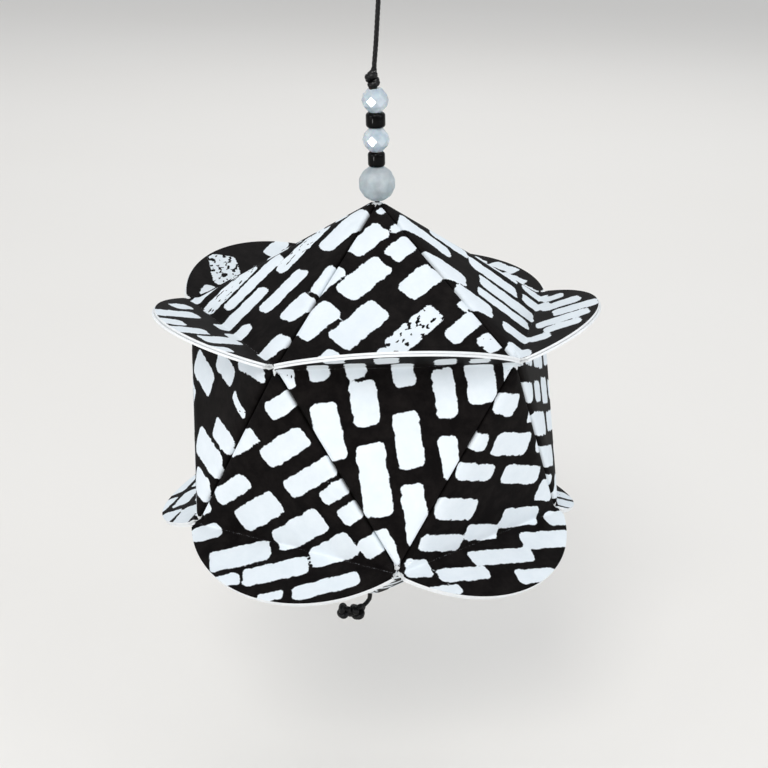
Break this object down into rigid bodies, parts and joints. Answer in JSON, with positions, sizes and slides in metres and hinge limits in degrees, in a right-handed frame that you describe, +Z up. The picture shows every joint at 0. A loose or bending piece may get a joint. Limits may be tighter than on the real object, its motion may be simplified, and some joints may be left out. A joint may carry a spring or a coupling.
{
  "type": "kusudama paper ball",
  "caption": "Hanging ornament ball of folded card circles glued into an icosahedron with rounded fins, strung on a beaded cord with a loop.",
  "frame": {"origin": "inside top of the hanging loop, where a hook holds it; the middle of the ball is straight below", "axes": "+Z up along the cord, -Y the front with one horizontal fin at the top of the middle triangle, +X to the right seen from the front"},
  "size_m": [0.0994, 0.0995, 0.1982],
  "materials": {
    "printed_card": "matt card printed black with white brush dabs on one side, plain white on the other",
    "milky_glass": "polished milky glass",
    "frosted_glass": "frosted translucent glass",
    "black_glass": "polished opaque black glass",
    "cord": "waxed twisted cord"
  },
  "bodies": {
    "root": {"top_disc_1": "printed_card", "top_disc_2": "printed_card", "top_disc_3": "printed_card", "top_disc_4": "printed_card", "top_disc_5": "printed_card", "upper_disc_1": "printed_card", "upper_disc_2": "printed_card", "upper_disc_3": "printed_card", "upper_disc_4": "printed_card", "upper_disc_5": "printed_card", "lower_disc_1": "printed_card", "lower_disc_2": "printed_card", "lower_disc_3": "printed_card", "lower_disc_4": "printed_card", "lower_disc_5": "printed_card", "bottom_disc_1": "printed_card", "bottom_disc_2": "printed_card", "bottom_disc_3": "printed_card", "bottom_disc_4": "printed_card", "bottom_disc_5": "printed_card", "big_bead": "frosted_glass", "lower_seed_bead": "black_glass", "upper_seed_bead": "black_glass", "lower_faceted_bead": "milky_glass", "upper_faceted_bead": "milky_glass", "inner_cord": "cord", "top_knot": "cord", "bottom_knot": "cord", "cord_rise": "cord", "loop_knot": "cord", "cord_loop": "cord"}
  },
  "joints": []
}
